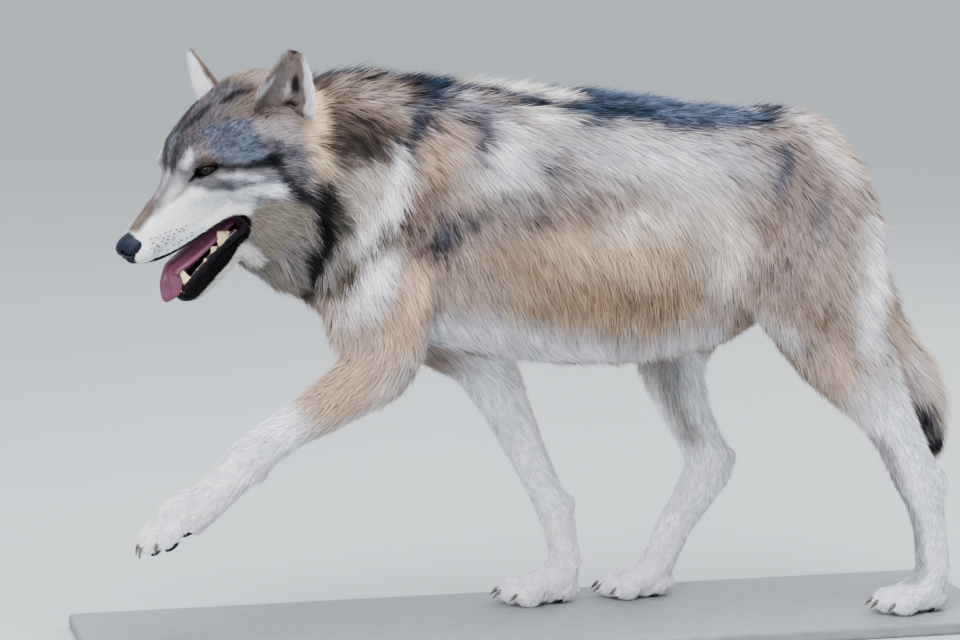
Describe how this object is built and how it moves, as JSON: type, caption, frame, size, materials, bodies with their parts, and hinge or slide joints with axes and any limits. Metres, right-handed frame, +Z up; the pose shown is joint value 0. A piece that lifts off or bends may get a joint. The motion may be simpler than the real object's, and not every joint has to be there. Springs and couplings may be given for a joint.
{
  "type": "grey wolf",
  "caption": "Life-size walking grey wolf with its head low, mouth open and one foreleg raised, a still display model on a plain flat base",
  "frame": {"origin": "centre of the base's underside", "axes": "the wolf faces -X, its left side faces -Y, +Z is up"},
  "size_m": [1.24, 0.32, 0.8077],
  "materials": {
    "coat": "thick grizzled fur, grey-brown with black tips",
    "coat_pale": "short pale fur",
    "eye": "wet, glossy, dark amber",
    "nose_leather": "moist black leather",
    "tongue": "wet, purplish pink",
    "stand_base": "matt painted board"
  },
  "bodies": {
    "root": {"stand_base": "stand_base", "head": "coat", "jaw": "coat_pale", "neck": "coat", "trunk": "coat", "tail": "coat", "foreleg_left": "coat_pale", "foreleg_right": "coat_pale", "hindleg_left": "coat_pale", "hindleg_right": "coat_pale", "ear_left": "coat", "ear_right": "coat", "eye_left": "eye", "eye_right": "eye", "nose": "nose_leather", "tongue": "tongue"}
  },
  "joints": []
}
